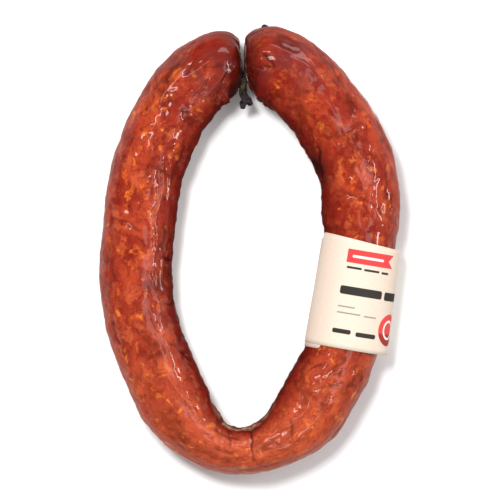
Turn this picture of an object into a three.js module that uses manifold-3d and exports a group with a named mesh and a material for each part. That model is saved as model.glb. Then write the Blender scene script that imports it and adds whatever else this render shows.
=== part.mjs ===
// A cured ring sausage, lying flat. One smoked casing of meat is bent into a tall loop, with its two blunt
// ends face to face. The dried tails of the casing stand out between the ends and are bound together with
// thread, and a paper label is wrapped round one limb.
//
// Millimetres, +Z up. The loop lies on z = 0 with its two ends towards +Y, and the origin is under the
// middle of the whole thing. A place along the casing is a length measured along its middle line from the
// tip of the left end.

import * as THREE from "three";
import { mergeVertices } from "three/addons/utils/BufferGeometryUtils.js";
import Module from "manifold-3d";

const wasm = await Module();
wasm.setup();

const { lerp, smoothstep } = THREE.MathUtils;

// ---------------------------------------------------------------- driving dimensions

// The loop, across and along, between the middle lines of the casing.
const loopWidth = 124;
const loopLength = 213;

// Half of the casing's thickness across the loop: on each limb, at the fuller right end, and at the bend
// that hung over a smoking stick.
const leftLimbRadius = 20;
const rightLimbRadius = 20.3;
const rightEndRadius = 21.6;
const bendRadius = 12.9;
const bendHalfHeight = 19.6;
const pinchSpread = 32;
const pinchSharpness = 2.6;

// A lying sausage settles: it is a little lower than it is wide, and its underside goes flat.
const restHeightShare = 0.97;
const undersideSink = 0.85;

// The blunt ends: how far the rounding reaches, and how square it is (2 is a round end).
const endLength = 16;
const endBluntness = 3;

// The dried tails of the casing, and the thread that binds them.
const tailLength = 23;
const tailHalfWidth = 0.5;
const tailHalfHeight = 1.8;
const tailGap = 0.4;
const tailLean = 2;
const tailDroop = 2;
const rootHalfWidth = 1.3;
const rootReach = 5.5;
const waistHalfWidth = 0.45;
const waistHalfHeight = 0.9;
const splayHalfWidth = 1.75;
const splayReach = 2;
const threadDiameter = 0.8;
const threadTurns = 4.25;
const threadGap = 0.25;
const threadSquareness = 3;
const tieMargin = 0.8;

// The paper label. Its first edge lies on top of the limb, at labelStart degrees from the outer side, and
// its second edge ends labelOverlap degrees past the first.
const labelHeight = 62;
const labelFromBend = 114;
const labelThickness = 0.35;
const labelOverlap = 48;
const labelSkew = 1.6;
const labelFlare = 1.2;
const labelSqueeze = 0.8;
const labelStart = 127;

// The gap left between pieces that touch.
const clearance = 0.3;

// How finely the casing is divided.
const casingSides = 24;
const casingStep = 6;
const endRings = 7;

// ---------------------------------------------------------------- the middle line

// The loop's shape seen from above, in halves of loopWidth and loopLength: from the tip of the left end
// down the left limb, round the bend and up the right limb to the tip of the other end.
const routeShape = [
  [-0.06, 0.985],
  [-0.235, 0.985],
  [-0.45, 0.92],
  [-0.67, 0.755],
  [-0.87, 0.5],
  [-0.97, 0.15],
  [-0.995, -0.11],
  [-0.935, -0.35],
  [-0.775, -0.6],
  [-0.57, -0.825],
  [-0.315, -0.965],
  [-0.065, -1],
  [0.19, -0.965],
  [0.475, -0.84],
  [0.785, -0.54],
  [0.87, -0.41],
  [0.92, -0.22],
  [0.975, -0.02],
  [1, 0.17],
  [1, 0.33],
  [0.94, 0.5],
  [0.745, 0.71],
  [0.5, 0.885],
  [0.255, 0.985],
  [0.083, 1],
  [-0.03, 0.995],
];
const route = new THREE.CatmullRomCurve3(
  routeShape.map(([x, y]) => new THREE.Vector3((x * loopWidth) / 2, (y * loopLength) / 2, 0)),
);
route.arcLengthDivisions = 1000;
const casingLength = route.getLength();
const bendPlace = lowestPlace();
const labelPlace = bendPlace + labelFromBend;

function lowestPlace() {
  const steps = 400;
  let lowest = 0;
  for (let i = 1; i <= steps; i++)
    if (route.getPointAt(i / steps).y < route.getPointAt(lowest / steps).y) lowest = i;
  return (lowest / steps) * casingLength;
}

// The middle line's point at a place, the direction it runs in, and the direction that points out of the
// loop.
function frameAt(place) {
  const share = THREE.MathUtils.clamp(place / casingLength, 0, 1);
  const ahead = route.getTangentAt(share);
  return { point: route.getPointAt(share), ahead, outward: new THREE.Vector3(ahead.y, -ahead.x, 0) };
}

// ---------------------------------------------------------------- the casing's section

const pinchAt = (place) => Math.exp(-((Math.abs(place - bendPlace) / pinchSpread) ** pinchSharpness));

function limbRadius(place) {
  const pastBend = smoothstep(place, bendPlace - pinchSpread, bendPlace + pinchSpread);
  const pastLabel = smoothstep(place, labelPlace, labelPlace + labelHeight);
  return lerp(lerp(leftLimbRadius, rightLimbRadius, pastBend), rightEndRadius, pastLabel);
}

const pinchedRadius = (place) => lerp(limbRadius(place), bendRadius, pinchAt(place));
const halfWidth = (place) => pinchedRadius(place) - labelSqueeze * underLabel(place);
const halfHeight = (place) => lerp(limbRadius(place) * restHeightShare, bendHalfHeight, pinchAt(place));
const middleHeight = (place) => halfHeight(place) - undersideSink;

// 1 under the label, falling to 0 a little way past its ends.
function underLabel(place) {
  const past = Math.abs(place - labelPlace) - labelHeight / 2;
  return 1 - smoothstep(past, 2, 2 + casingStep);
}

// The underside rests on z = 0, and on the paper where the label passes below.
const undersideHeight = (place) => (labelThickness + clearance) * underLabel(place);

// A point of the casing: across and up are shares of the half width and half height, from -1 to 1.
function casingPoint(place, across, up) {
  const { point, outward } = frameAt(place);
  const height = middleHeight(place) + up * halfHeight(place);
  point.addScaledVector(outward, across * halfWidth(place));
  point.z = Math.max(height, undersideHeight(place));
  return point;
}

// ---------------------------------------------------------------- mesh helpers

// Moves every vertex of a straight geometry to its place on the bent piece.
function reshape(geometry, placeVertex) {
  const position = geometry.attributes.position;
  const vertex = new THREE.Vector3();
  for (let i = 0; i < position.count; i++) {
    vertex.fromBufferAttribute(position, i);
    const placed = placeVertex(vertex);
    position.setXYZ(i, placed.x, placed.y, placed.z);
  }
  geometry.computeVertexNormals();
  return geometry;
}

function solidOf(geometry) {
  const bare = geometry.clone();
  bare.deleteAttribute("normal");
  bare.deleteAttribute("uv");
  const merged = mergeVertices(bare, 1e-3);
  return new wasm.Manifold(
    new wasm.Mesh({
      numProp: 3,
      vertProperties: merged.attributes.position.array,
      triVerts: new Uint32Array(merged.index.array),
    }),
  );
}

function joined(geometries) {
  const whole = geometries.map(solidOf).reduce((one, other) => one.add(other));
  const mesh = whole.getMesh();
  const geometry = new THREE.BufferGeometry();
  geometry.setAttribute("position", new THREE.BufferAttribute(mesh.vertProperties, 3));
  geometry.setIndex(new THREE.BufferAttribute(mesh.triVerts, 1));
  geometry.computeVertexNormals();
  return geometry;
}

// ---------------------------------------------------------------- the filled casing

// Half of the straight sausage's outline, as shares of its radius against the place: a blunt end, a long
// even stretch and the other end.
function casingOutline() {
  const end = [];
  for (let i = 0; i <= endRings; i++) {
    const turn = (Math.PI / 2) * (i / endRings);
    const reach = endLength * (1 - Math.cos(turn) ** (2 / endBluntness));
    end.push(new THREE.Vector2(Math.sin(turn) ** (2 / endBluntness), reach));
  }
  const stretch = casingLength - 2 * endLength;
  const rings = Math.ceil(stretch / casingStep);
  const even = [];
  for (let i = 1; i < rings; i++) even.push(new THREE.Vector2(1, endLength + (stretch * i) / rings));
  const farEnd = end.map((point) => new THREE.Vector2(point.x, casingLength - point.y)).reverse();
  return [...end, ...even, ...farEnd];
}

function filledCasing() {
  const straight = new THREE.LatheGeometry(casingOutline(), casingSides);
  return reshape(straight, (vertex) => casingPoint(vertex.y, vertex.x, vertex.z));
}

// ---------------------------------------------------------------- the casing's dried tails

const leftTip = casingPoint(0, 0, 0);
const rightTip = casingPoint(casingLength, 0, 0);
const seam = leftTip.clone().lerp(rightTip, 0.5);
const tieReach = tailGap / 2 + 2 * tailHalfWidth + clearance + threadDiameter;
const tieTop = Math.min(clearedAt(-1), clearedAt(1));
const tieLength = threadTurns * (threadDiameter + threadGap);
const tieBottom = tieTop - tieLength;
const tailTip = seam.y - tailLength;

// How far along the loop an end face has rounded away enough from the seam for the tie to pass it.
function clearedAt(side) {
  const steps = 200;
  for (let i = 1; i < steps; i++) {
    const reach = (endLength * i) / steps;
    const closing = (1 - (1 - reach / endLength) ** endBluntness) ** (1 / endBluntness);
    const edge = casingPoint(side < 0 ? reach : casingLength - reach, -closing, 0);
    if ((edge.x - seam.x) * side > tieReach + clearance) return edge.y;
  }
  return seam.y - leftLimbRadius;
}

// Each tail leaves the middle of its end face, turns down the gap between the faces, goes flat and narrow
// through the tie, twists to a waist and splays at its cut end. half: half sizes, sideways and upright.
function tailStations(side) {
  const near = seam.x + side * (tailGap / 2 + tailHalfWidth);
  const waist = lerp(tieBottom, tailTip, 0.45);
  const splay = seam.x + tailLean + side * splayReach;
  const held = [tailHalfWidth, tailHalfHeight];
  const root = side * rootReach;
  return [
    { at: [seam.x + root, seam.y, seam.z], half: [rootHalfWidth, tailHalfHeight] },
    { at: [seam.x + 0.3 * root, seam.y - 1.2, seam.z], half: [0.6 * rootHalfWidth, tailHalfHeight] },
    { at: [near, seam.y - 5, seam.z], half: held },
    { at: [near, tieTop + tieMargin, seam.z], half: held },
    { at: [near, lerp(tieTop, tieBottom, 0.5), seam.z], half: held },
    { at: [near, tieBottom - tieMargin, seam.z], half: held },
    { at: [near + tailLean, waist, seam.z - 0.3 * tailDroop], half: [waistHalfWidth, waistHalfHeight] },
    { at: [splay, lerp(waist, tailTip, 0.5), seam.z - 0.7 * tailDroop], half: [splayHalfWidth, 0.7] },
    { at: [splay, tailTip + side * 0.9, seam.z - tailDroop], half: [0.8 * splayHalfWidth, 0.5] },
  ];
}

function tail(side) {
  const stations = tailStations(side);
  const last = stations.length - 1;
  const path = new THREE.CatmullRomCurve3(stations.map(({ at }) => new THREE.Vector3(...at)));
  const halfAt = (share, axis) => {
    const before = Math.min(Math.floor(share * last), last - 1);
    return lerp(stations[before].half[axis], stations[before + 1].half[axis], share * last - before);
  };
  const strand = new THREE.CylinderGeometry(1, 1, 1, 10, 28);
  const up = new THREE.Vector3(0, 0, 1);
  return reshape(strand, (vertex) => {
    const share = THREE.MathUtils.clamp(0.5 - vertex.y, 0, 1);
    const sideways = up.clone().cross(path.getTangent(share)).normalize();
    const placed = path.getPoint(share).addScaledVector(sideways, vertex.x * halfAt(share, 0));
    placed.z += vertex.z * halfAt(share, 1);
    return placed;
  });
}

// ---------------------------------------------------------------- the thread

// A squarish oval helix round both tails, with the clearance of one thread from them.
class ThreadTurns extends THREE.Curve {
  getPoint(share) {
    const turn = share * threadTurns * 2 * Math.PI;
    const squared = (part) => Math.sign(part) * Math.abs(part) ** (2 / threadSquareness);
    return new THREE.Vector3(
      seam.x + (tieReach - threadDiameter / 2) * squared(Math.cos(turn)),
      tieTop - tieLength * share,
      seam.z + (tailHalfHeight + clearance + threadDiameter / 2) * squared(Math.sin(turn)),
    );
  }
}

function thread() {
  const section = new THREE.Shape().absarc(0, 0, threadDiameter / 2, 0, 2 * Math.PI);
  return new THREE.ExtrudeGeometry(section, {
    extrudePath: new ThreadTurns(),
    steps: Math.ceil(threadTurns * 16),
    curveSegments: 4,
    bevelEnabled: false,
  });
}

function threadKnot() {
  const knotRadius = threadDiameter * 1.3;
  const height = seam.z + tailHalfHeight + clearance + knotRadius;
  const knot = new THREE.SphereGeometry(knotRadius, 12, 8).scale(1.2, 1, 0.8);
  return knot.translate(seam.x, lerp(tieTop, tieBottom, 0.5), height);
}

// ---------------------------------------------------------------- the label

// The label's frame lies along the chord of the limb under it, and its oval clears the casing all along
// that chord. The casing turns away from the chord, so places past the sheet's two ends are looked at as
// well.
function labelFit() {
  const start = frameAt(labelPlace - labelHeight / 2).point;
  const finish = frameAt(labelPlace + labelHeight / 2).point;
  const ahead = finish.clone().sub(start).normalize();
  const outward = new THREE.Vector3(ahead.y, -ahead.x, 0);
  const middle = start.lerp(finish, 0.5).setZ(middleHeight(labelPlace));
  const searched = labelHeight / 2 + bendRadius;
  const steps = 36;
  const covered = [];
  for (let i = -steps; i <= steps; i++)
    for (let side = 0; side < casingSides; side++) {
      const turn = (2 * Math.PI * side) / casingSides;
      const place = labelPlace + (searched * i) / steps;
      const from = casingPoint(place, Math.cos(turn), Math.sin(turn)).sub(middle);
      const along = Math.abs(from.dot(ahead));
      if (along <= (labelHeight + labelSkew) / 2) covered.push({ across: from.dot(outward), rise: from.z });
    }
  const least = Math.min(...covered.map(({ across }) => across));
  const most = Math.max(...covered.map(({ across }) => across));
  const shift = (least + most) / 2;
  const wide = (most - least) / 2;
  const tall = Math.max(...covered.map(({ rise }) => rise));
  const spans = covered.map(({ across, rise }) => Math.hypot((across - shift) / wide, rise / tall));
  const grow = Math.max(...spans);
  middle.addScaledVector(outward, shift);
  return { middle, ahead, outward, wide: wide * grow + clearance, tall: tall * grow + clearance };
}

// A flat sheet rolled round the limb: it starts on top, goes down the inner side, passes below, and comes
// back over the top to end on itself. The paper flares a little at the end near the bend, on the outer
// side.
function label() {
  const { middle, ahead, outward, wide, tall } = labelFit();
  const startTurn = THREE.MathUtils.degToRad(labelStart);
  const wrap = THREE.MathUtils.degToRad(360 + labelOverlap);
  const layerStep = labelThickness + clearance;
  const sheet = new THREE.BoxGeometry(1, 1, 1, 72, 1, 1);
  return reshape(sheet, ({ x, y, z }) => {
    const wound = (x + 0.5) * wrap;
    const turn = startTurn + wound;
    const layer = (layerStep * wound) / (2 * Math.PI) + (z > 0 ? labelThickness : 0);
    const flare = Math.max(Math.cos(turn), 0) * labelFlare * (y + 0.5);
    const rise = (tall + layer) * Math.sin(turn);
    const placed = middle.clone().addScaledVector(outward, (wide + layer) * Math.cos(turn) + flare);
    placed.addScaledVector(ahead, -y * labelHeight + labelSkew * x);
    placed.z = Math.max(middle.z + rise, z > 0 ? 0 : labelThickness);
    return placed;
  });
}

// ---------------------------------------------------------------- the whole thing

function piece(name, geometry, color, roughness) {
  const mesh = new THREE.Mesh(geometry, new THREE.MeshStandardMaterial({ color, roughness, metalness: 0 }));
  mesh.name = name;
  return mesh;
}

const sausage = new THREE.Group();
sausage.add(piece("sausage", joined([filledCasing(), tail(-1), tail(1)]), 0xb03a20, 0.3));
sausage.add(piece("casing_tie", joined([thread(), threadKnot()]), 0x3d3226, 0.8));
sausage.add(piece("label", label(), 0xfbf1dc, 0.7));

const box = new THREE.Box3().setFromObject(sausage);
sausage.position.set(-(box.min.x + box.max.x) / 2, -(box.min.y + box.max.y) / 2, -box.min.z);

export default sausage;
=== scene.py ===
"""A cured ring sausage lying flat: one smoked casing of coarse meat, bent into a tall loop.

Its two blunt ends are tied face to face, and a paper label is wrapped round one limb.

Metres, +Z up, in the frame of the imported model. A place on the casing is a length along its middle line, from the
tip of the left end. An angle goes round the casing: 0 is the outer side, 90 degrees the top and 180 the inner side.
"""

import math

import bmesh
import bpy
import numpy as np
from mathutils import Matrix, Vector, noise


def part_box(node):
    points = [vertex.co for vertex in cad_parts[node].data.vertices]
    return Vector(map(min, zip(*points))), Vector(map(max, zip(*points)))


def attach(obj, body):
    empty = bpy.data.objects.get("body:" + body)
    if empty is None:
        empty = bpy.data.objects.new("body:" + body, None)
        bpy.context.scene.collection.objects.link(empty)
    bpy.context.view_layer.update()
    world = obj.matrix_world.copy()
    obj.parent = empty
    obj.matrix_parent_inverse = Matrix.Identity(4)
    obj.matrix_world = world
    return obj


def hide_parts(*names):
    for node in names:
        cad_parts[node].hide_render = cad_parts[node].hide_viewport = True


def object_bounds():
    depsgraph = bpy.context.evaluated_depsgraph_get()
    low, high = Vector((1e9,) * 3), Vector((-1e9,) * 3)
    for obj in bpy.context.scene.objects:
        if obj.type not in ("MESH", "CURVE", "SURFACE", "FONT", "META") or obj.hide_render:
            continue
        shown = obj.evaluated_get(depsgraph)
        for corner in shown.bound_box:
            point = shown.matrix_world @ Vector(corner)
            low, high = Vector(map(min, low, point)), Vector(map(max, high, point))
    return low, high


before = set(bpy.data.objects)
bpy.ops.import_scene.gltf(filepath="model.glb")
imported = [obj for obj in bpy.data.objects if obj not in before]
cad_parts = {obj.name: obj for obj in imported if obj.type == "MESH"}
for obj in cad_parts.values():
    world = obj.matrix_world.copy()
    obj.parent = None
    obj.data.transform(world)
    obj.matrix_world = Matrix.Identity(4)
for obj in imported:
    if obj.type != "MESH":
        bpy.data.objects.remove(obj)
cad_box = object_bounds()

MM = 0.001

# ---------------------------------------------------------------- sizes of the casing, as in the model's own source

LOOP_WIDTH = 124 * MM
LOOP_LENGTH = 213 * MM
LEFT_LIMB_RADIUS = 20 * MM
RIGHT_LIMB_RADIUS = 20.3 * MM
RIGHT_END_RADIUS = 21.6 * MM
BEND_RADIUS = 12.9 * MM
BEND_HALF_HEIGHT = 19.6 * MM
PINCH_SPREAD = 32 * MM
PINCH_SHARPNESS = 2.6
REST_HEIGHT_SHARE = 0.97
UNDERSIDE_SINK = 0.85 * MM
END_LENGTH = 16 * MM
END_BLUNTNESS = 3
LABEL_HEIGHT = 62 * MM
LABEL_FROM_BEND = 114 * MM
LABEL_SQUEEZE = 0.8 * MM
LABEL_LIFT = 0.65 * MM
LABEL_FADE = (2 * MM, 8 * MM)

CURVE_STEPS = 60  # from one knot of a curve to the next

# The loop seen from above, in halves of its width and length.
ROUTE_SHAPE = [
    (-0.06, 0.985),
    (-0.235, 0.985),
    (-0.45, 0.92),
    (-0.67, 0.755),
    (-0.87, 0.5),
    (-0.97, 0.15),
    (-0.995, -0.11),
    (-0.935, -0.35),
    (-0.775, -0.6),
    (-0.57, -0.825),
    (-0.315, -0.965),
    (-0.065, -1),
    (0.19, -0.965),
    (0.475, -0.84),
    (0.785, -0.54),
    (0.87, -0.41),
    (0.92, -0.22),
    (0.975, -0.02),
    (1, 0.17),
    (1, 0.33),
    (0.94, 0.5),
    (0.745, 0.71),
    (0.5, 0.885),
    (0.255, 0.985),
    (0.083, 1),
    (-0.03, 0.995),
]


def smoothstep(value, low, high):
    """0 up to low and 1 from high on, with a soft rise between."""
    share = np.clip((value - low) / (high - low), 0, 1)
    return share * share * (3 - 2 * share)


def mix(one, other, share):
    return one + (other - one) * share


# ---------------------------------------------------------------- the middle line


def smooth_line(knots):
    """A centripetal curve through the knots, as one row of close points."""
    knots = [Vector(knot) for knot in knots]
    padded = [2 * knots[0] - knots[1], *knots, 2 * knots[-1] - knots[-2]]
    line = []
    for before, start, end, after in zip(padded, padded[1:], padded[2:], padded[3:]):
        back = (start - before).length ** 0.5
        span = (end - start).length ** 0.5
        forth = (after - end).length ** 0.5
        leaving = (start - before) / back - (end - before) / (back + span) + (end - start) / span
        arriving = (end - start) / span - (after - start) / (span + forth) + (after - end) / forth
        for step in range(CURVE_STEPS):
            share = step / CURVE_STEPS
            line.append(
                (2 * share**3 - 3 * share**2 + 1) * start
                + (share**3 - 2 * share**2 + share) * leaving * span
                + (3 * share**2 - 2 * share**3) * end
                + (share**3 - share**2) * arriving * span
            )
    line.append(knots[-1])
    return np.array(line)


class Line:
    """A row of points with the length along it."""

    def __init__(self, knots):
        self.points = smooth_line(knots)
        steps = np.linalg.norm(np.diff(self.points, axis=0), axis=1)
        self.at = np.concatenate([[0], np.cumsum(steps)])
        self.length = self.at[-1]
        self.headings = np.gradient(self.points, self.at, axis=0)

    def point(self, place):
        return np.stack([np.interp(place, self.at, self.points[:, i]) for i in range(3)], axis=-1)

    def ahead(self, place):
        heading = np.stack([np.interp(place, self.at, self.headings[:, i]) for i in range(3)], axis=-1)
        return heading / np.linalg.norm(heading, axis=-1, keepdims=True)


route = Line([(x * LOOP_WIDTH / 2, y * LOOP_LENGTH / 2, 0) for x, y in ROUTE_SHAPE])
bend_place = route.at[np.argmin(route.points[:, 1])]
label_place = bend_place + LABEL_FROM_BEND


def outward(place):
    ahead = route.ahead(place)
    return np.stack([ahead[..., 1], -ahead[..., 0], 0 * ahead[..., 0]], axis=-1)


# ---------------------------------------------------------------- the casing's section


def pinch(place):
    return np.exp(-((np.abs(place - bend_place) / PINCH_SPREAD) ** PINCH_SHARPNESS))


def limb_radius(place):
    past_bend = smoothstep(place, bend_place - PINCH_SPREAD, bend_place + PINCH_SPREAD)
    past_label = smoothstep(place, label_place, label_place + LABEL_HEIGHT)
    return mix(mix(LEFT_LIMB_RADIUS, RIGHT_LIMB_RADIUS, past_bend), RIGHT_END_RADIUS, past_label)


def under_label(place):
    return 1 - smoothstep(np.abs(place - label_place) - LABEL_HEIGHT / 2, *LABEL_FADE)


def half_width(place):
    return mix(limb_radius(place), BEND_RADIUS, pinch(place)) - LABEL_SQUEEZE * under_label(place)


def half_height(place):
    return mix(limb_radius(place) * REST_HEIGHT_SHARE, BEND_HALF_HEIGHT, pinch(place))


def middle_height(place):
    return half_height(place) - UNDERSIDE_SINK


def casing_points(place, angle, closing=1.0, proud=0.0, forward=0.0):
    """Points of the casing. closing shrinks the section at the ends, proud stands off it and forward goes ahead."""
    across = np.cos(angle) * (closing * half_width(place) + proud)
    up = np.sin(angle) * (closing * half_height(place) + proud)
    points = route.point(place) + outward(place) * across[:, None]
    points += route.ahead(place) * np.reshape(forward, (-1, 1))
    rest = LABEL_LIFT * under_label(place)
    points[:, 2] = np.maximum(middle_height(place) + up, rest)
    return points + shift


# The route is shifted so that the casing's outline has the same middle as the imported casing's box.
shift = np.zeros(3)
rim = np.linspace(0, route.length, 1500)
rims = np.concatenate([casing_points(rim, np.full(len(rim), side)) for side in (0, math.pi)])
casing_low, casing_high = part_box("sausage")
for i in (0, 1):
    shift[i] = (casing_low[i] + casing_high[i] - rims[:, i].min() - rims[:, i].max()) / 2

# ---------------------------------------------------------------- mesh helpers

SEED_STEP = (7.31, 3.17, 5.73)  # from one seed's part of the noise to the next one's


def coordinates(mesh):
    points = np.empty(len(mesh.vertices) * 3, np.float32)
    mesh.vertices.foreach_get("co", points)
    return points.reshape(-1, 3).astype(float)


def set_coordinates(mesh, points):
    mesh.vertices.foreach_set("co", np.asarray(points, np.float32).ravel())
    mesh.update()


def store(mesh, name, values):
    """Keeps a number or a vector for each vertex, for a material to read."""
    values = np.asarray(values, np.float32)
    if values.ndim == 1:
        mesh.attributes.new(name, "FLOAT", "POINT").data.foreach_set("value", values)
    else:
        mesh.attributes.new(name, "FLOAT_VECTOR", "POINT").data.foreach_set("vector", values.ravel())


def add_piece(name, work, material, slot, *nodes):
    """Makes a finished bmesh a smooth piece that rides on the part and stands for its CAD nodes."""
    mesh = bpy.data.meshes.new(name)
    work.to_mesh(mesh)
    work.free()
    mesh.polygons.foreach_set("use_smooth", [True] * len(mesh.polygons))
    mesh.materials.append(material)
    piece = bpy.data.objects.new(name, mesh)
    bpy.context.scene.collection.objects.link(piece)
    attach(piece, "root")
    if nodes:
        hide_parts(*nodes)
    return piece


def closed_tube(sides, rings):
    """A ball of latitude rings, to be drawn out into a closed tube."""
    work = bmesh.new()
    bmesh.ops.create_uvsphere(work, u_segments=sides, v_segments=rings, radius=1)
    return work


def tube_shares(points):
    """For the vertices of a closed_tube: how far each is from its first end to its last, 0 to 1, and its angle."""
    along = np.arccos(np.clip(-points[:, 2], -1, 1)) / math.pi
    return along, np.arctan2(points[:, 1], points[:, 0])


def noise_at(points, size, seed):
    """Smooth noise from -1 to 1 at each point, with features of about that size."""
    where = points / size + seed * np.array(SEED_STEP)
    return np.array([noise.noise(Vector(point)) for point in where])


# ---------------------------------------------------------------- the label's hold on the casing

# Inside the paper: half widths towards the inner and the outer side, and half heights at its low and high end.
LABEL_INNER = 20.7 * MM
LABEL_OUTER = 21.2 * MM
LABEL_TALL = (20.0 * MM, 21.4 * MM)
LABEL_CLEARANCE = 0.3 * MM
LABEL_REACH = 1.6  # how far out it takes hold, in half widths of the label
LABEL_HOLD_FADE = (0.5 * MM, 6 * MM)


def label_frame():
    """The middle of the label, the way it runs along the limb, and the way across to the outer side."""
    ends = np.array([label_place - LABEL_HEIGHT / 2, label_place + LABEL_HEIGHT / 2])
    start, finish = route.point(ends) + shift
    ahead = (finish - start) / np.linalg.norm(finish - start)
    across = np.array([ahead[1], -ahead[0], 0])
    middle = (start + finish) / 2
    middle[2] = middle_height(label_place)
    return middle, ahead, across


def drawn_in_by_label(points):
    """Draws the casing in where it would come through the paper."""
    middle, ahead, across = label_frame()
    along = (points - middle) @ ahead
    out = (points - middle) @ across
    up = points[:, 2] - middle[2]
    half = np.where(out < 0, LABEL_INNER, LABEL_OUTER) - LABEL_CLEARANCE
    tall = mix(*LABEL_TALL, np.clip(along / LABEL_HEIGHT + 0.5, 0, 1)) - LABEL_CLEARANCE
    size = np.hypot(out / half, up / tall)
    held = 1 - smoothstep(np.abs(along) - LABEL_HEIGHT / 2, *LABEL_HOLD_FADE)
    pull = np.where((size > 1) & (size < LABEL_REACH), 1 / np.maximum(size, 1) - 1, 0) * held
    points += across * (out * pull)[:, None]
    points[:, 2] += up * pull
    return points


# ---------------------------------------------------------------- creases and marks on the casing

# Each crease runs from one spot to another, given as place in mm and angle in degrees, with its depth and half
# width in mm and how dark the painted shade along it is.
CREASES = [
    ((4, 92), (15, 120), 0.6, 0.8, 0.9),
    ((15, 120), (31, 154), 0.6, 0.8, 0.8),
    ((19, 60), (33, 84), 0.4, 0.7, 0.6),
    ((34, 8), (43, 52), 0.5, 0.8, 0.7),
    ((56, 96), (68, 101), 0.4, 0.7, 0.5),
    ((111, 44), (113, 70), 0.4, 0.7, 0.6),
    ((113, 70), (118, 96), 0.5, 0.8, 0.7),
    ((99, 112), (122, 121), 0.5, 0.8, 0.4),
    ((122, 121), (146, 126), 0.5, 0.7, 0.6),
    ((131, 136), (134, 178), 0.8, 0.9, 1.0),
    ((146, 118), (168, 132), 0.4, 0.7, 0.4),
    ((160, 138), (162, 176), 0.5, 0.8, 0.8),
    ((182, 120), (190, 139), 0.4, 0.7, 0.5),
    ((190, 139), (198, 160), 0.7, 1.0, 1.0),
    ((214, 96), (226, 120), 0.4, 0.7, 0.4),
    ((253, 154), (257, 100), 0.4, 0.7, 0.6),
    ((273, 178), (269, 88), 0.7, 0.9, 0.9),
    ((269, 88), (270, 66), 0.4, 0.7, 0.6),
    ((298, 104), (292, 82), 0.5, 0.8, 0.7),
    ((330, 70), (322, 104), 0.4, 0.7, 0.4),
    ((338, 110), (327, 128), 0.4, 0.7, 0.5),
    ((424, 58), (431, 95), 0.5, 0.8, 0.6),
    ((431, 95), (438, 134), 0.4, 0.8, 0.5),
    ((441, 60), (437, 88), 0.4, 0.7, 0.4),
    ((446, 162), (458, 148), 0.7, 1.3, 1.0),
    ((458, 148), (470, 136), 0.7, 1.1, 1.0),
    ((470, 136), (486, 130), 0.4, 0.8, 0.6),
    ((521, 95), (529, 76), 0.7, 0.9, 0.9),
    ((521, 95), (530, 98), 0.7, 0.9, 0.9),
    ((530, 98), (536, 92), 0.6, 0.9, 0.9),
    ((530, 98), (533, 122), 0.5, 0.9, 0.8),
    ((505, 128), (517, 141), 0.4, 0.8, 0.6),
]

# Wrinkles that stand up: a run of spots given in the same way, with its height and half width in mm.
RIDGES = [
    ([(46, 98), (52, 106), (61, 108), (71, 103), (80, 101), (89, 99), (99, 95)], 0.55, 0.8),
    (
        [(65, 104), (75, 107), (85, 117), (93, 121), (101, 118), (109, 115), (121, 121), (136, 124), (151, 128)],
        0.6,
        0.8,
    ),
    ([(69, 121), (84, 131), (98, 136), (112, 138), (127, 142)], 0.45, 0.7),
    ([(81, 95), (90, 104), (100, 109), (108, 103), (116, 111), (124, 112), (131, 118), (140, 115)], 0.55, 0.8),
    ([(118, 126), (134, 138), (147, 135), (158, 146)], 0.5, 0.8),
    ([(140, 112), (150, 119), (160, 125), (170, 120), (181, 126)], 0.55, 0.9),
    ([(160, 108), (172, 112), (182, 118), (192, 117)], 0.5, 0.8),
    ([(200, 100), (211, 104), (222, 113), (232, 110)], 0.5, 0.8),
    ([(284, 118), (290, 108), (296, 100), (303, 96)], 0.6, 0.8),
    ([(296, 112), (304, 98), (311, 94)], 0.5, 0.8),
    ([(312, 84), (318, 91), (326, 92)], 0.5, 0.8),
    ([(326, 98), (338, 84)], 0.5, 0.8),
    ([(438, 86), (446, 94), (455, 95), (463, 103)], 0.5, 0.8),
    ([(449, 74), (456, 82), (466, 84)], 0.5, 0.8),
    ([(480, 84), (487, 82), (493, 90), (500, 88)], 0.6, 0.9),
    ([(497, 90), (503, 96), (510, 93)], 0.6, 0.9),
    ([(500, 70), (508, 66), (516, 72)], 0.5, 0.9),
    ([(20, 96), (28, 102), (38, 100)], 0.5, 0.8),
    ([(14, 74), (22, 80), (30, 76)], 0.5, 0.8),
    ([(8, 100), (14, 108), (22, 118), (30, 122)], 0.5, 0.8),
    ([(24, 60), (34, 66), (42, 62), (50, 68)], 0.5, 0.8),
    ([(268, 92), (274, 100), (281, 98)], 0.5, 0.8),
    ([(276, 80), (283, 86), (291, 82), (299, 86)], 0.5, 0.8),
    ([(304, 76), (312, 74), (320, 78)], 0.5, 0.8),
    ([(412, 92), (420, 98), (428, 94)], 0.5, 0.8),
    ([(420, 76), (428, 80), (437, 74)], 0.5, 0.8),
    ([(468, 96), (476, 92), (484, 97)], 0.5, 0.8),
    ([(508, 84), (515, 80), (522, 84)], 0.5, 0.8),
]

MARK_RADIUS = 19 * MM  # the radius at which angles on the casing are taken as lengths
RIDGE_SKIP = 6  # takes one in so many points of a ridge's curve
RIDGE_REACH = 4 * MM
RIDGE_GENTLE = 2.2
RIDGE_STEEP = 0.75
RIDGE_CALM = 3 * MM

CASING_SIDES = 124
CASING_RINGS = 780
CAP_SHARE = 0.045  # of the rings, at either end

# Height and size of the filling's lumps in mm, each with its seed.
LUMPS = [(0.8, 21, 1), (0.6, 8.5, 2), (0.34, 3.6, 6)]
SLACK = 0.35 * MM
WRINKLE_DEPTH = 0.42 * MM
DRY_LENGTH = 52 * MM
PLEATS = 11
PLEAT_DEPTH = 0.55 * MM
STICK_ANGLE = 164
STICK_SPREAD = 9
STICK_FADE = (16 * MM, 40 * MM)
STICK_DEPTH = 0.35 * MM

# Dark smoke stains: place in mm and angle in degrees, and how far each reaches along and round.
SMOKE_SPOTS = [(457, 155, 11, 15), (3.5, 140, 3, 12)]


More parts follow.
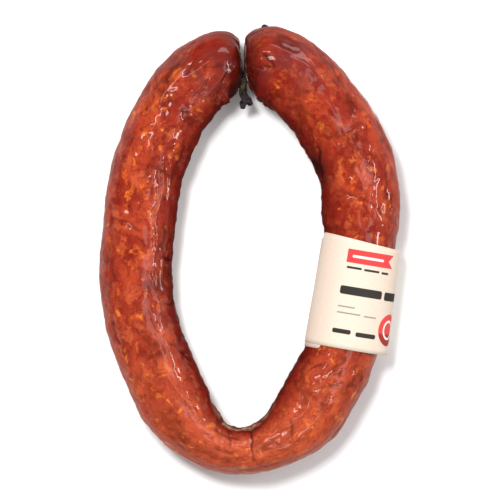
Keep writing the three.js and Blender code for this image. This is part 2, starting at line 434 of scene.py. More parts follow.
def stretch(straight, lengthwise, roundwise):
    """Coordinates for a pattern that is drawn out along the casing or round it: the smaller number, the longer."""
    return straight * np.array([lengthwise, roundwise, roundwise])


def bell(distance, width):
    """1 at no distance, about a third at the width and nothing far away."""
    return np.exp(-((distance / width) ** 2))


def along_crease(place, angle, crease):
    """How strongly each vertex belongs to a crease, from 0 to 1."""
    (place_a, angle_a), (place_b, angle_b), _, half, _ = crease
    start = np.array([place_a * MM, math.radians(angle_a) * MARK_RADIUS])
    end = np.array([place_b * MM, math.radians(angle_b) * MARK_RADIUS])
    spots = np.stack([place, angle * MARK_RADIUS], axis=-1)
    wobble = 0.45 * MM * np.sin(spots[:, 0] / (2.3 * MM)) + 0.35 * MM * np.sin(spots[:, 1] / (1.7 * MM))
    spots += wobble[:, None]
    run = end - start
    share = np.clip(((spots - start) @ run) / (run @ run), 0, 1)
    gap = np.linalg.norm(spots - start - share[:, None] * run, axis=1)
    narrow = half * MM * mix(0.35, 1, np.sin(math.pi * np.clip(share, 0.02, 0.98)))
    return bell(gap, narrow)


def along_ridge(place, angle, ridge):
    """How strongly each vertex belongs to a ridge, steep on one side and gentle on the other, and its nearness."""
    spots, _, half = ridge
    path = Line([(at * MM, math.radians(turn) * MARK_RADIUS, 0) for at, turn in spots])
    rows = path.points[::RIDGE_SKIP, :2]
    here = np.stack([place, angle * MARK_RADIUS], axis=-1)
    beside = (place > rows[0, 0] - RIDGE_REACH) & (place < rows[-1, 0] + RIDGE_REACH)
    near = np.flatnonzero(beside & (angle > 0))
    gaps = np.linalg.norm(here[near, None] - rows[None], axis=2)
    closest = gaps.argmin(axis=1)
    gap = gaps.min(axis=1)
    past = here[near, 1] > rows[closest, 1]
    share = closest / (len(rows) - 1)
    narrow = half * MM * mix(0.3, 1, np.sin(math.pi * np.clip(share, 0.03, 0.97)))
    strength, nearness = np.zeros(len(place)), np.zeros(len(place))
    strength[near] = bell(gap, narrow * np.where(past, RIDGE_GENTLE, RIDGE_STEEP))
    nearness[near] = bell(gap, RIDGE_CALM)
    return strength, nearness


def blunt_ends(along):
    """Spreads the rings along the casing: the first and last shares of them close its two blunt ends.

    Returns each vertex's place, how far the section has opened there, and its facing sideways and lengthways.
    """
    turn = np.clip(np.minimum(along, 1 - along) / CAP_SHARE, 0, 1) * math.pi / 2
    closing = np.sin(turn) ** (2 / END_BLUNTNESS)
    reach = END_LENGTH * (1 - np.cos(turn) ** (2 / END_BLUNTNESS))
    even = END_LENGTH + (route.length - 2 * END_LENGTH) * (along - CAP_SHARE) / (1 - 2 * CAP_SHARE)
    place = np.where(along < CAP_SHARE, reach, np.where(along > 1 - CAP_SHARE, route.length - reach, even))
    return place, closing, np.sin(turn), np.cos(turn) * np.where(along < 0.5, -1, 1)


def filling_lumps(straight, inner):
    """Lumps of the coarse filling, shallow lengthwise ridges in patches, and slack folds on the inner side."""
    lumps = sum(height * MM * noise_at(straight, size * MM, seed) for height, size, seed in LUMPS)
    ridges = noise_at(stretch(straight, 0.22, 1), 4.6 * MM, 3)
    lumps += SLACK * ridges * smoothstep(noise_at(straight, 30 * MM, 4), -0.2, 0.3)
    return lumps + SLACK * noise_at(stretch(straight, 2.6, 0.6), 9 * MM, 5) * inner


def fine_wrinkles(straight, inner):
    """Thin valleys where a slow noise changes sign, lengthwise and round the casing, from 0 to 1."""
    lengthwise = noise_at(stretch(straight, 0.3, 1), 11 * MM, 9) + 0.25 * noise_at(straight, 3.5 * MM, 10)
    roundwise = noise_at(stretch(straight, 1, 0.45), 10 * MM, 11) + 0.3 * noise_at(straight, 3 * MM, 12)
    patches = smoothstep(noise_at(straight, 17 * MM, 13), -0.1, 0.35)
    other_patches = smoothstep(noise_at(straight, 15 * MM, 14), 0.0, 0.4) * mix(0.4, 1, inner)
    return np.maximum(bell(lengthwise, 0.13) * patches, bell(roundwise, 0.12) * other_patches)


def crumpled_ends(straight, place, angle, from_tip, closing):
    """The ends are drier and more crumpled, and gathered into pleats round the tails."""
    skewed = stretch(straight, 0.55, 1) + np.outer(0.9 * MM * np.sin(place / (2.1 * MM)), [0, 1, 1])
    crumpled = 0.42 * noise_at(skewed, 4.6 * MM, 18) + 0.22 * noise_at(skewed, 2.6 * MM, 19)
    pleats = 0.5 + 0.5 * np.sin(PLEATS * angle + 3 * noise_at(straight, 12 * MM, 7))
    return MM * crumpled * bell(from_tip, DRY_LENGTH) - PLEAT_DEPTH * bell(from_tip, 7 * MM) * closing * pleats


def make_casing(material):
    piece = add_piece("sausage_body", closed_tube(CASING_SIDES, CASING_RINGS), material, "casing", "sausage")
    mesh = piece.data
    along, angle = tube_shares(coordinates(mesh))
    place, closing, sideways, lengthways = blunt_ends(along)

    # Where each vertex would be on the unbent casing, which the patterns follow.
    radius = closing * limb_radius(place)
    straight = np.stack([place, radius * np.cos(angle), radius * np.sin(angle)], axis=-1)
    degrees = np.degrees(angle) % 360
    from_tip = np.minimum(place, route.length - place)
    from_bend = np.abs(place - bend_place)
    inner = smoothstep(-np.cos(angle), 0.45, 0.95)
    top = smoothstep(np.sin(angle), -0.1, 0.6)

    wrinkles = fine_wrinkles(straight, inner)
    lumps = filling_lumps(straight, inner) - WRINKLE_DEPTH * wrinkles
    lumps += crumpled_ends(straight, place, angle, from_tip, closing)

    # Painted shade: the colour darkens in the wrinkles' valleys, along the creases and round the tied tips.
    crease = np.maximum(0.5 * wrinkles, 0.8 * bell(from_tip, 8 * MM))
    for line in CREASES:
        strength = along_crease(place, angle, line)
        *_, depth, _, darkness = line
        lumps -= depth * MM * strength
        crease = np.maximum(crease, darkness * strength)

    # The lumps are calmer beside a ridge, so that it reads as one run.
    calm, raised = np.zeros(len(place)), np.zeros(len(place))
    for ridge in RIDGES:
        strength, nearness = along_ridge(place, angle, ridge)
        raised = np.maximum(raised, ridge[1] * MM * strength)
        calm = np.maximum(calm, nearness)
    lumps = lumps * (1 - 0.7 * calm) + 1.2 * raised

    # The flat strip that the smoking stick left on the inner side of the bend, with broken edges.
    stick = np.exp(-(((degrees - STICK_ANGLE) / STICK_SPREAD) ** 4)) * (1 - smoothstep(from_bend, *STICK_FADE))
    lumps -= STICK_DEPTH * stick
    stick *= smoothstep(noise_at(straight, 5 * MM, 16) + 0.5 * noise_at(straight, 1.8 * MM, 17), -0.5, 0.3)

    # Under the label the casing is pressed nearly smooth and a little inwards.
    free = 1 - under_label(place)
    lumps = np.minimum(lumps * mix(0.12, 1, free), 0.25 * MM + 2 * MM * free) - 0.35 * MM * (1 - free)
    points = drawn_in_by_label(casing_points(place, angle, closing, lumps * sideways, lumps * lengthways))
    rest = LABEL_LIFT * under_label(place)
    points[:, 2] = np.where(points[:, 2] <= rest + 0.02 * MM, rest, points[:, 2])
    set_coordinates(mesh, points)

    # A painted reflection: a dull grey-purple haze, in blotches, on the tops of the two ends.
    blotches = noise_at(straight, 13 * MM, 8) + 0.6 * noise_at(straight, 5 * MM, 15)
    reflection_haze = (1 - smoothstep(from_tip, 15 * MM, 60 * MM)) * top * smoothstep(blotches, -0.35, 0.35)
    # Painted shade round both tips, where the two ends face each other.
    tip_shade = bell(from_tip, 17 * MM) * (0.75 + 0.5 * noise_at(straight, 6 * MM, 20))
    smoke = sum(
        bell(place - at * MM, length * MM) * bell(degrees - turn, spread)
        for at, turn, length, spread in SMOKE_SPOTS
    )
    store(mesh, "straight", straight)
    store(mesh, "crease", crease)
    store(mesh, "reflection_haze", np.clip(reflection_haze, 0, 1))
    store(mesh, "smoke", smoke)
    store(mesh, "stick", stick)
    store(mesh, "paler", bell(from_bend, 75 * MM) * (1 - inner))
    # Painted shade on the inner side of the loop and round the tips.
    store(mesh, "flank_shade", np.clip(inner + tip_shade, 0, 1))


# ---------------------------------------------------------------- tails, thread and shred

STRAND_TIP = 0.8 * MM  # the length over which a strand's ends are rounded
THREAD_HALF = (0.4, 0.4)
KNOT_HALF = (0.42, 0.42)
THREAD_TURNS = 7.25
STEPS_A_TURN = 20

# Sideways and upright half sizes of a tail in mm, from inside the sausage to the splayed lobe at its tip.
TAIL_HALVES = [
    (1, 1.6),
    (0.8, 1.8),
    (0.7, 1.9),
    (0.65, 1.9),
    (0.7, 1.5),
    (0.8, 1.1),
    (1.6, 1.1),
    (1.9, 1.0),
    (1.5, 0.8),
]

# The knot's path in mm: right of the thread's middle, along it from halfway, and above it.
KNOT_SPOTS = [
    (1.5, 1.6, 2.2),
    (-0.2, 0.7, 3.0),
    (-0.9, -0.5, 3.1),
    (0.4, -0.9, 3.2),
    (0.9, 0.6, 3.0),
    (-1.4, -1.5, 2.3),
]


def draw_out(name, path, half_sizes, material, slot, *nodes, sides=20, rings=90, twist=0.0, rough=0.0):
    """A closed strand along a path. half_sizes: sideways and upright in mm, at even shares of its length."""
    piece = add_piece(name, closed_tube(sides, rings), material, slot, *nodes)
    along, angle = tube_shares(coordinates(piece.data))
    place = path.length * along
    from_end = np.minimum(along, 1 - along) * path.length
    closing = np.sqrt(1 - (1 - np.clip(from_end / STRAND_TIP, 0, 1)) ** 2)
    knots = np.linspace(0, 1, len(half_sizes))
    wide, tall = (np.interp(along, knots, halves) * MM * closing for halves in zip(*half_sizes))
    ahead = path.ahead(place)
    sideways = np.cross(ahead, np.array([0, 0, 1.0]))
    sideways /= np.linalg.norm(sideways, axis=1, keepdims=True)
    upright = np.cross(sideways, ahead)
    offset = sideways * (wide * np.cos(angle))[:, None] + upright * (tall * np.sin(angle))[:, None]
    points = path.point(place) + offset
    if rough:
        points += offset * rough * noise_at(points, 1.6 * MM, 21)[:, None]
    set_coordinates(piece.data, points)
    turned = angle + twist * along * 2 * math.pi
    store(piece.data, "straight", np.stack([place, wide * np.cos(turned), tall * np.sin(turned)], axis=-1))


def make_tails(material):
    """The two twisted ends of the casing, pressed together under the thread and splayed below it."""
    low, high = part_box("casing_tie")
    seam_x = (low.x + high.x) / 2
    seam_z = (low.z + high.z) / 2 - 0.4 * MM
    tie_y = high.y
    tip_y = tie_y - 10.8 * MM
    for side, name in ((-1, "casing_tail_left"), (1, "casing_tail_right")):
        near = seam_x + side * 0.75 * MM
        spots = [
            (seam_x + side * 5 * MM, tie_y + 13 * MM, seam_z),
            (seam_x + side * 1.3 * MM, tie_y + 11 * MM, seam_z),
            (near, tie_y + 6 * MM, seam_z),
            (near, tie_y, seam_z),
            (near + 0.2 * MM, tie_y - 4.5 * MM, seam_z),
            (seam_x + (1.6 + side * 0.6) * MM, tie_y - 6.5 * MM, seam_z - 0.4 * MM),
            (seam_x + (1.9 + side * 1.9) * MM, tip_y + 2.2 * MM, seam_z - 0.9 * MM),
            (seam_x + (2 + side * 2.3) * MM, tip_y + side * 1.0 * MM, seam_z - 1.4 * MM),
        ]
        draw_out(name, Line(spots), TAIL_HALVES, material, "casing", "sausage", rough=0.3)


def make_shred(material):
    """A dried scrap of casing, stuck on the outer side of the right end."""
    places = route.length - np.array([11.4, 10.5, 9.6, 8.6]) * MM
    raised = np.array([-0.8, -0.1, 0, -0.8]) * MM
    spots = casing_points(places, np.radians([3, 6, 4, 8]), 0.98, raised)
    halves = [(0.5, 0.4), (0.8, 0.5), (0.9, 0.6), (0.5, 0.4)]
    draw_out("casing_shred", Line(spots), halves, material, "casing", rings=40, rough=0.4)


def make_thread(material):
    """Turns of thread wound squarely round the two tails, and a small knot over them."""
    low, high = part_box("casing_tie")
    middle = (low + high) / 2
    reach_x, reach_z = 1.95 * MM, 2.45 * MM
    top = high.y + 4.6 * MM
    bottom = low.y + 1.2 * MM
    spots = []
    for step in range(int(THREAD_TURNS * STEPS_A_TURN) + 1):
        turn = step / STEPS_A_TURN
        round_it = turn * 2 * math.pi
        right, up = (math.copysign(abs(part) ** 0.75, part) for part in (math.cos(round_it), math.sin(round_it)))
        loose = 0.16 * MM * noise.noise(Vector((turn * 2.3, 4.1, 0)))
        x = middle.x + (reach_x + loose) * right
        y = top - (top - bottom) * turn / THREAD_TURNS + 0.35 * MM * math.sin(round_it + 0.6)
        z = middle.z - 0.4 * MM + (reach_z + loose) * up
        spots.append((x, y, z))
    twine = (material, "thread", "casing_tie")
    draw_out("tie_thread", Line(spots), [THREAD_HALF] * 2, *twine, sides=12, rings=700, twist=150)
    halfway = (top + bottom) / 2
    knot = Line([(middle.x + x * MM, halfway + y * MM, middle.z + z * MM) for x, y, z in KNOT_SPOTS])
    draw_out("tie_knot", knot, [KNOT_HALF] * 2, *twine, sides=12, rings=90, twist=8)


# ---------------------------------------------------------------- the label

LABEL_START = math.radians(127)
LABEL_OVERLAP_LOW = math.radians(50)
LABEL_OVERLAP_HIGH = math.radians(36)
LABEL_ROLL = 21.6 * MM  # the radius at which turns round the limb are taken as lengths of paper
LABEL_CORNER = 2.6 * MM
LABEL_COLUMNS = 150
LABEL_ROWS = 24
PAPER = 0.3 * MM
PAPER_LAYER = PAPER + 0.12 * MM  # how much further out each turn of paper lies


def flat_sheet(length):
    """The label's sheet laid out flat, with rounded corners, cut into a fine grid that can be rolled up."""
    work = bmesh.new()
    bmesh.ops.create_grid(work, x_segments=1, y_segments=1, size=0.5)
    bmesh.ops.scale(work, vec=(length, LABEL_HEIGHT, 1), verts=work.verts)
    corner = {"offset": LABEL_CORNER, "segments": 5, "profile": 0.5, "offset_type": "OFFSET"}
    bmesh.ops.bevel(work, geom=list(work.verts), affect="VERTICES", material=-1, **corner)
    for way, strips, size in (((1, 0, 0), LABEL_COLUMNS, length), ((0, 1, 0), LABEL_ROWS, LABEL_HEIGHT)):
        for i in range(1, strips):
            cut = work.verts[:] + work.edges[:] + work.faces[:]
            middle = Vector(way) * (size * (i / strips - 0.5))
            bmesh.ops.bisect_plane(work, geom=cut, plane_co=middle, plane_no=way)
    return work


def make_label(material):
    """The flat sheet, rolled up: it starts on top, goes down the inner side, below and back over the top."""
    middle, ahead, across = label_frame()
    length = (2 * math.pi + LABEL_OVERLAP_LOW) * LABEL_ROLL
    work = flat_sheet(length)
    printed = work.loops.layers.uv.new("printed")
    place_on_sheet = {}
    for vertex in work.verts:
        share = vertex.co.x / length + 0.5
        lift = vertex.co.y / LABEL_HEIGHT + 0.5
        wrap = 2 * math.pi + mix(LABEL_OVERLAP_LOW, LABEL_OVERLAP_HIGH, lift)
        turn = LABEL_START + share * wrap

        # Along the limb: the sheet is wound a little askew, and its first part starts lower.
        along = mix(-28.6, 31, lift) * MM - 2.2 * MM * (share - 0.5) - mix(0.5, 2.2, lift) * MM * math.cos(turn)
        along -= mix(4.1, 5.8, lift) * MM * (1 - smoothstep(share, 0.12, 0.4))

        # Round the limb: it stands off on the outer side, and doesn't go through what the limb rests on.
        layer = PAPER_LAYER * share * wrap / (2 * math.pi)
        half = LABEL_OUTER if math.cos(turn) > 0 else LABEL_INNER
        flare = mix(3.5, 1.3, lift) * MM * max(math.cos(turn), 0) ** 2
        sideways = math.cos(turn) * (half + layer) + flare
        up = math.sin(turn) * (mix(*LABEL_TALL, lift) + layer)
        point = middle + across * sideways + ahead * along
        point[2] = max(middle[2] + up, 0.02 * MM + PAPER + layer)
        place_on_sheet[vertex] = ((math.radians(450) - turn) * LABEL_ROLL, along)
        vertex.co = point
    for face in work.faces:
        for corner in face.loops:
            corner[printed].uv = place_on_sheet[corner.vert]
    bmesh.ops.solidify(work, geom=work.faces[:], thickness=PAPER)
    bmesh.ops.recalc_face_normals(work, faces=work.faces)
    add_piece("paper_label", work, material, "paper", "label")


# ---------------------------------------------------------------- materials

PER_MM = 1000.0  # turns metres into millimetres, the unit of every pattern's scale


class Finish:
    """A material under construction, with short ways to add its nodes."""

    def __init__(self, name):
        self.material = bpy.data.materials.new(name)
        self.material.use_nodes = True
        self.tree = self.material.node_tree
        self.shader = self.tree.nodes["Principled BSDF"]

    def node(self, kind, **settings):
        made = self.tree.nodes.new("ShaderNode" + kind)
        for name, value in settings.items():
            setattr(made, name, value)
        return made

    def plug(self, value, socket):
        if isinstance(value, bpy.types.NodeSocket):
            self.tree.links.new(value, socket)
        else:
            socket.default_value = value

    def math(self, operation, *values):
        made = self.node("Math", operation=operation)
        for value, socket in zip(values, made.inputs):
            self.plug(value, socket)
        return made.outputs[0]

    def vector(self, operation, *values, scale=None):
        made = self.node("VectorMath", operation=operation)
        for value, socket in zip(values, made.inputs):
            self.plug(value, socket)
        if scale is not None:
            self.plug(scale, made.inputs["Scale"])
        return made.outputs["Value" if operation == "LENGTH" else "Vector"]

    def range(self, value, low, high, to_low, to_high, kind="LINEAR"):
        made = self.node("MapRange", interpolation_type=kind)
        self.plug(value, made.inputs["Value"])
        for socket, number in zip(("From Min", "From Max", "To Min", "To Max"), (low, high, to_low, to_high)):
            made.inputs[socket].default_value = number
        return made.outputs["Result"]

    def step(self, value, low, high):
        """0 at low and 1 at high, with a soft change between. low is the higher of the two for a fall."""
        return self.range(value, low, high, 0.0, 1.0, "SMOOTHSTEP")

    def blend(self, share, one, other):
        made = self.node("Mix", data_type="RGBA")
        self.plug(share, made.inputs["Factor"])
        for value, socket in ((one, made.inputs[6]), (other, made.inputs[7])):
            self.plug(value if isinstance(value, bpy.types.NodeSocket) else (*value, 1), socket)
        return made.outputs[2]

    def lay(self, colour, mask, strength, tint):
        """Lays a tint over a colour where a mask says, as strongly as given."""
        return self.blend(self.math("MULTIPLY", mask, strength), colour, tint)

    def noise(self, where, scale, detail=2.0, roughness=0.5, output="Fac"):
        made = self.node("TexNoise")
        self.plug(where, made.inputs["Vector"])
        for socket, number in (("Scale", scale), ("Detail", detail), ("Roughness", roughness)):
            made.inputs[socket].default_value = number
        return made.outputs[output]

    def patches(self, where, offset, scale, detail, roughness, low, high):
        """A mask of soft-edged patches, where a noise rises from low to high."""
        return self.step(self.noise(self.vector("ADD", where, offset), scale, detail, roughness), low, high)

    def from_middle(self, value):
        """How far a noise is from its middle value, either way."""
        return self.math("ABSOLUTE", self.math("SUBTRACT", value, 0.5))

    def attribute(self, name, output="Fac"):
        return self.node("Attribute", attribute_name=name).outputs[output]

    def straight(self):
        """Where a point is on the unbent piece, in millimetres."""
        return self.vector("SCALE", self.attribute("straight", "Vector"), scale=PER_MM)

    def bump(self, height, distance, strength=1.0):
        made = self.node("Bump")
        made.inputs["Distance"].default_value = distance
        made.inputs["Strength"].default_value = strength
        self.plug(height, made.inputs["Height"])
        self.tree.links.new(made.outputs["Normal"], self.shader.inputs["Normal"])

    def set(self, **values):
        """Sets or links the shader's own sockets, by their names in small letters."""
        for name, value in values.items():
            self.plug(value, self.shader.inputs[name.replace("_", " ").title().replace("Ior", "IOR")])


MEAT_DARK = (0.25, 0.019, 0.008)
MEAT_LIGHT = (0.39, 0.044, 0.015)
MEAT_LEAN = (0.17, 0.009, 0.005)
MEAT_PALE = (0.55, 0.098, 0.032)
MEAT_AT_BEND = (0.62, 0.120, 0.045)
FAT_STREAK = (0.66, 0.125, 0.018)
FAT_SPECK = (0.80, 0.22, 0.03)
LEAN_THREAD = (0.20, 0.010, 0.006)
LEAN_VEIN = (0.15, 0.007, 0.004)
# A painted reflection haze for the tops of the ends.
REFLECTION_HAZE = (0.16, 0.022, 0.019)
# Painted shade for the inner side and the tips.
FLANK_SHADE = (0.16, 0.006, 0.003)
STICK_MARK = (0.66, 0.40, 0.26)
SMOKE_STAIN = (0.012, 0.008, 0.009)
# Painted shade in the creases.
CREASE_SHADE = (0.05, 0.003, 0.002)


def smoked_casing():
    """Coarse meat and fat showing through a thin glossy smoked casing."""
    made = Finish("smoked_casing")
    straight = made.straight()
    drift = made.vector("SUBTRACT", made.noise(straight, 0.11, 3.0, 0.6, "Color"), (0.5, 0.5, 0.5))
    warped = made.vector("ADD", straight, made.vector("SCALE", drift, scale=16.0))
    drawn = made.vector("MULTIPLY", warped, (0.6, 1.0, 1.0))

    # Ground lean meat: small patches of darker and lighter red with soft edges.
    colour = made.blend(made.step(made.noise(straight, 0.06, 3.0, 0.6), 0.38, 0.62), MEAT_DARK, MEAT_LIGHT)
    lean = made.patches(drawn, (50.0, 2.0, 8.0), 0.17, 2.5, 0.55, 0.50, 0.68)
    colour = made.lay(colour, lean, 0.8, MEAT_LEAN)
    pale = made.patches(drawn, (14.0, 33.0, 60.0), 0.13, 2.5, 0.5, 0.52, 0.70)
    colour = made.lay(colour, pale, 0.7, MEAT_PALE)
    colour = made.lay(colour, made.attribute("paler"), 0.5, MEAT_AT_BEND)

    # Fat, stained orange by the smoke: torn streaks and specks.
    marbling = made.patches(drawn, (31.0, 7.0, 3.0), 0.16, 4.0, 0.62, 0.54, 0.66)
    grouped = made.patches(straight, (9.0, 70.0, 5.0), 0.045, 1.0, 0.5, 0.42, 0.6)
    colour = made.lay(colour, made.math("MULTIPLY", marbling, grouped), 0.75, FAT_STREAK)
    cells = made.node("TexVoronoi")
    made.plug(made.vector("ADD", warped, (5.0, 17.0, 63.0)), cells.inputs["Vector"])
    cells.inputs["Scale"].default_value = 0.2
    number = made.node("SeparateColor")
    made.plug(cells.outputs["Color"], number.inputs["Color"])
    chosen = made.step(number.outputs["Red"], 0.8, 0.9)
    speck = made.math("MULTIPLY", chosen, made.step(cells.outputs["Distance"], 0.5, 0.15))
    colour = made.lay(colour, speck, 0.7, FAT_SPECK)

    # Dark lean threads and veins.
    threads = made.step(made.noise(drawn, 0.45, 4.0, 0.65), 0.53, 0.70)
    colour = made.lay(colour, threads, 0.5, LEAN_THREAD)
    vein = made.from_middle(made.noise(made.vector("ADD", drawn, (3.0, 40.0, 9.0)), 0.13, 4.0, 0.6))
    colour = made.lay(colour, made.step(vein, 0.035, 0.0), 0.45, LEAN_VEIN)

    # Painted light, and what the smoking left on the casing.
    # A painted reflection haze on the tops of the ends.
    colour = made.lay(colour, made.attribute("reflection_haze"), 0.85, REFLECTION_HAZE)
    # Painted shade on the inner side and round the tips.
    colour = made.lay(colour, made.attribute("flank_shade"), 0.85, FLANK_SHADE)
    colour = made.lay(colour, made.attribute("stick"), 0.6, STICK_MARK)
    colour = made.blend(made.attribute("smoke"), colour, SMOKE_STAIN)
    # Painted shade in the creases.
    colour = made.blend(made.attribute("crease"), colour, CREASE_SHADE)

    wrinkles = made.noise(made.vector("MULTIPLY", straight, (0.4, 1.0, 1.0)), 0.8, 3.0)
    crinkles = made.math("MINIMUM", made.from_middle(made.noise(drawn, 0.34, 3.0)), 0.12)
    pores = made.noise(straight, 1.6, 2.0)
    height = made.math("ADD", made.math("MULTIPLY", wrinkles, 0.6), made.math("MULTIPLY", pores, 0.2))
    made.bump(made.math("ADD", height, made.math("MULTIPLY", crinkles, 5.0)), 0.3 * MM, 0.6)
    made.set(
        base_color=colour,
        roughness=made.range(made.noise(straight, 0.12, 3.0), 0.3, 0.7, 0.26, 0.45),
        ior=1.45,
        coat_weight=0.8,
        coat_roughness=0.05,
        specular_ior_level=0.2,
        sheen_weight=0.6,
        sheen_roughness=0.15,
        sheen_tint=(1.0, 0.8, 0.75, 1.0),
        subsurface_weight=0.08,
        subsurface_radius=(1.0, 0.25, 0.1),
        subsurface_scale=1.2 * MM,
    )
    return made.material


def dried_casing():
    """The casing's dried, smoked tails: nearly black, wrinkled and a little glossy."""
    made = Finish("dried_casing")
    straight = made.straight()
    blotch = made.noise(straight, 0.8, 3.0)
    colour = made.blend(made.step(blotch, 0.35, 0.7), (0.008, 0.005, 0.008), (0.045, 0.028, 0.034))
    made.set(base_color=colour, roughness=made.range(blotch, 0.3, 0.7, 0.25, 0.55))
    made.bump(made.noise(made.vector("MULTIPLY", straight, (0.3, 1.0, 1.0)), 2.2, 3.0), 0.3 * MM)
    return made.material


def tie_twine():
    """Two-ply twine, stained by smoke."""
    made = Finish("tie_twine")
    straight = made.straight()
    fibres = made.noise(made.vector("MULTIPLY", straight, (0.6, 4.0, 4.0)), 1.5, 3.0)
    stain = made.noise(straight, 0.15, 2.0)
    colour = made.blend(made.step(fibres, 0.35, 0.7), (0.030, 0.020, 0.012), (0.13, 0.095, 0.05))
    colour = made.blend(made.step(stain, 0.45, 0.65), colour, (0.012, 0.008, 0.008))
    made.set(base_color=colour, roughness=0.75)
    made.bump(fibres, 0.12 * MM)
    return made.material


# The label's plain printed marks, in mm from the top of the limb and along it: middle, half sizes, corner radius.
DARK_MARKS = [
    ((-1.5, 15.2), (4.2, 0.62), 0.5),
    ((8.4, 15.0), (4.4, 0.62), 0.5),
    ((16.6, 14.8), (2.4, 0.62), 0.5),
    ((4.6, 2.7), (12.0, 2.3), 1.2),
    ((26.0, 2.5), (7.6, 2.3), 1.2),
    ((-2.9, -19.8), (5.2, 1.25), 0.9),
    ((10.6, -20.3), (5.6, 1.25), 0.9),
]
GREY_MARKS = [
    ((-2.4, -6.3), (4.8, 0.42), 0.4),
    ((-0.6, -9.7), (6.6, 0.42), 0.4),
    ((11.4, -10.0), (3.6, 0.42), 0.4),
]
RIBBON = ((7.6, 21.5), (14.0, 3.7), 0.4)
RIBBON_STRIPE = ((5.6, 21.5), (9.0, 0.7), 0.6)
RIBBON_NOTCH = 3.5
SEAL = (26.4, -15.6)
SEAL_RADIUS = 8.8
SEAL_RING = (5.4, 4.2)
PRINT_EDGE = 0.12  # half the width of a printed edge, in mm

PAPER_DARK = (0.72, 0.575, 0.465)
PAPER_LIGHT = (0.78, 0.64, 0.53)
PAPER_CLOUD = (0.70, 0.60, 0.48)
RIBBON_RED = (0.72, 0.045, 0.045)
STRIPE_CREAM = (0.9, 0.82, 0.7)
DARK_INK = (0.030, 0.026, 0.022)
GREY_INK = (0.30, 0.27, 0.22)
SEAL_DARK = (0.36, 0.018, 0.012)
SEAL_RED = (0.76, 0.05, 0.045)
RING_CREAM = (0.9, 0.84, 0.74)


def printed_paper():
    """Matte cream paper with plain printed marks."""
    made = Finish("printed_paper")
    spot = made.vector("SCALE", made.node("UVMap", uv_map="printed").outputs["UV"], scale=PER_MM)
    split = made.node("SeparateXYZ")
    made.plug(spot, split.inputs["Vector"])
    across, along = split.outputs["X"], split.outputs["Y"]

    def away_from(centre):
        return made.vector("MULTIPLY", made.vector("SUBTRACT", spot, (*centre, 0.0)), (1.0, 1.0, 0.0))

    def within(length, limit):
        return made.step(length, limit + PRINT_EDGE, limit - PRINT_EDGE)

    def rounded(mark):
        centre, half, corner = mark
        gap = made.vector("ABSOLUTE", away_from(centre))
        gap = made.vector("SUBTRACT", gap, (half[0] - corner, half[1] - corner, 0.0))
        return within(made.vector("LENGTH", made.vector("MAXIMUM", gap, (0.0, 0.0, 0.0))), corner)

    def disc(centre, radius):
        return within(made.vector("LENGTH", away_from(centre)), radius)

    def printed(colour, marks, ink):
        whole = rounded(marks[0])
        for mark in marks[1:]:
            whole = made.math("MAXIMUM", whole, rounded(mark))
        return made.blend(whole, colour, ink)

    fibres = made.noise(made.vector("MULTIPLY", spot, (0.35, 1.6, 1.0)), 1.1, 4.0, 0.6)
    cloud = made.noise(spot, 0.08, 2.0)
    colour = made.blend(made.step(fibres, 0.3, 0.75), PAPER_DARK, PAPER_LIGHT)
    colour = made.lay(colour, made.step(cloud, 0.4, 0.7), 0.35, PAPER_CLOUD)

    # A swallow-tailed ribbon: a notch is cut out of its right end.
    (ribbon_x, ribbon_y), (ribbon_half, _), _ = RIBBON
    off_axis = made.math("ABSOLUTE", made.math("SUBTRACT", along, ribbon_y))
    tip = ribbon_x + ribbon_half - RIBBON_NOTCH
    tail = made.step(made.math("SUBTRACT", across, off_axis), tip + 0.1, tip - 0.1)
    colour = made.blend(made.math("MULTIPLY", rounded(RIBBON), tail), colour, RIBBON_RED)
    colour = made.lay(colour, rounded(RIBBON_STRIPE), 0.9, STRIPE_CREAM)

    colour = printed(colour, DARK_MARKS, DARK_INK)
    colour = printed(colour, GREY_MARKS, GREY_INK)
    lit = made.step(along, SEAL[1] - 2.5, SEAL[1] - 2.2)
    colour = made.blend(disc(SEAL, SEAL_RADIUS), colour, made.blend(lit, SEAL_DARK, SEAL_RED))
    ring = made.math("SUBTRACT", *(disc(SEAL, radius) for radius in SEAL_RING))
    colour = made.blend(ring, colour, RING_CREAM)

    made.set(base_color=colour, roughness=made.range(fibres, 0.3, 0.7, 0.55, 0.7))
    made.bump(fibres, 0.05 * MM, 0.5)
    return made.material


def pale_floor():
    """A matte, nearly white floor."""
    made = Finish("pale_floor")
    grain = made.noise(made.node("TexCoord").outputs["Object"], 40.0, 2.0)
    made.set(base_color=made.blend(grain, (0.90, 0.90, 0.90), (0.93, 0.93, 0.93)), roughness=0.9)
    return made.material


def rim_card():
    """A dim glow that only shows as the thin bright rim of a glossy surface."""
    made = Finish("rim_card")
    made.set(base_color=(0, 0, 0, 1), roughness=1.0, emission_color=(1, 0.72, 0.68, 1), emission_strength=0.5)
    return made.material


# ---------------------------------------------------------------- camera, light and floor

CAMERA_DISTANCE = 1.5
VIEW_WIDTH = 0.275
SENSOR_WIDTH = 36
AMBIENT = 0.36
FLOOR_HALF_WIDTH = 2.0
FLOOR_GAP = 0.1 * MM
CARD_GAP = 0.2 * MM
CARD_SPREAD = 18  # how many times wider the card is than its opening

# Name, azimuth and lean in degrees, distance, sides (the first one level), watts.
SOFTBOXES = [
    ("side_softbox", 5, 55, 1.1, (0.6, 0.08), 2.4),
    ("top_softbox", 128, 30, 1.2, (0.5, 0.1), 1.8),
    ("wide_softbox", 8, 26, 1.2, (0.8, 0.4), 1.8),
    ("back_softbox", 72, 60, 1.2, (0.8, 0.22), 2.0),
    ("low_softbox", -60, 34, 1.2, (0.5, 0.08), 0.9),
]


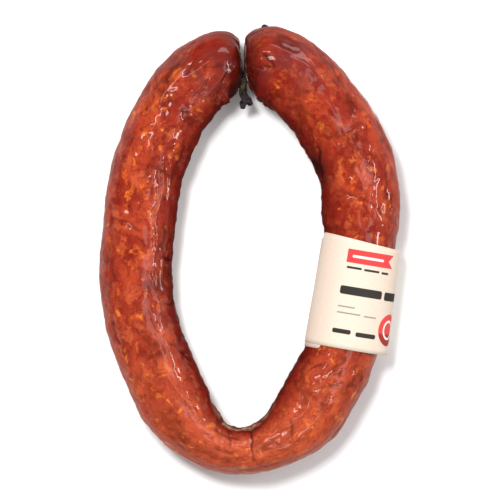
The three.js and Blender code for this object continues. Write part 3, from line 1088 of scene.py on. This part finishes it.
def make_camera():
    """The camera looks straight down on the middle of the model."""
    camera = bpy.data.objects.new("camera", bpy.data.cameras.new("camera"))
    bpy.context.scene.collection.objects.link(camera)
    low, high = cad_box
    camera.location = (
        (low[0] + high[0]) / 2,
        (low[1] + high[1]) / 2,
        CAMERA_DISTANCE + (high[2] - low[2]) / 2,
    )
    camera.data.sensor_width = SENSOR_WIDTH
    camera.data.lens = SENSOR_WIDTH * CAMERA_DISTANCE / VIEW_WIDTH
    camera.data.clip_start = 0.05
    bpy.context.scene.camera = camera


def soft_light(name, azimuth, lean, distance, size, power, glossy=True):
    """A lamp aimed at the origin: azimuth in degrees from +X, lean in degrees from straight up."""
    lamp = bpy.data.lights.new(name, "AREA")
    lamp.shape = "RECTANGLE"
    lamp.size, lamp.size_y = size
    lamp.energy = power
    light = bpy.data.objects.new(name, lamp)
    bpy.context.scene.collection.objects.link(light)
    azimuth, lean = math.radians(azimuth), math.radians(lean)
    direction = Vector((math.cos(azimuth) * math.sin(lean), math.sin(azimuth) * math.sin(lean), math.cos(lean)))
    light.location = direction * distance
    light.rotation_euler = direction.to_track_quat("Z", "Y").to_euler()
    light.visible_glossy = glossy


def stage_piece(name, work, material, height):
    """Makes a flat bmesh a level part of the stage, at a height."""
    bmesh.ops.translate(work, vec=(0, 0, height), verts=work.verts)
    bmesh.ops.recalc_face_normals(work, faces=work.faces)
    mesh = bpy.data.meshes.new(name)
    work.to_mesh(mesh)
    work.free()
    mesh.materials.append(material)
    sheet = bpy.data.objects.new(name, mesh)
    bpy.context.scene.collection.objects.link(sheet)
    return sheet


def make_floor():
    """A wide floor just under the model, which glossy surfaces don't mirror."""
    work = bmesh.new()
    bmesh.ops.create_grid(work, x_segments=4, y_segments=4, size=FLOOR_HALF_WIDTH)
    floor = stage_piece("floor", work, pale_floor(), cad_box[0][2] - FLOOR_GAP)
    floor.visible_glossy = False


def make_rim_card():
    """A wide card round the loop, open inside it, which only glossy surfaces see."""
    work = bmesh.new()
    bmesh.ops.create_circle(work, segments=96, radius=1)
    bmesh.ops.scale(work, vec=(LOOP_WIDTH / 2, LOOP_LENGTH / 2, 1), verts=work.verts)
    ring = bmesh.ops.extrude_edge_only(work, edges=work.edges[:])["geom"]
    outer = [part for part in ring if isinstance(part, bmesh.types.BMVert)]
    bmesh.ops.scale(work, vec=(CARD_SPREAD, CARD_SPREAD, 1), verts=outer)
    card = stage_piece("rim_card", work, rim_card(), cad_box[0][2] - CARD_GAP)
    card.visible_camera = card.visible_diffuse = card.visible_shadow = card.visible_transmission = False


def make_studio():
    """Even light from all round, a key light for the shadow, and softboxes for the shine."""
    world = bpy.data.worlds.new("studio")
    bpy.context.scene.world = world
    world.use_nodes = True
    background = world.node_tree.nodes["Background"]
    background.inputs["Color"].default_value = (1, 1, 1, 1)
    background.inputs["Strength"].default_value = AMBIENT
    world.cycles_visibility.glossy = False
    soft_light("key_light", 128, 20, 1.4, (0.3, 0.3), 18.0, glossy=False)
    for softbox in SOFTBOXES:
        soft_light(*softbox)
    make_floor()
    make_rim_card()
    bpy.context.scene.view_settings.view_transform = "Standard"


make_camera()
make_studio()
make_casing(smoked_casing())
dried = dried_casing()
make_tails(dried)
make_shred(dried)
make_thread(tie_twine())
make_label(printed_paper())

bpy.context.view_layer.update()
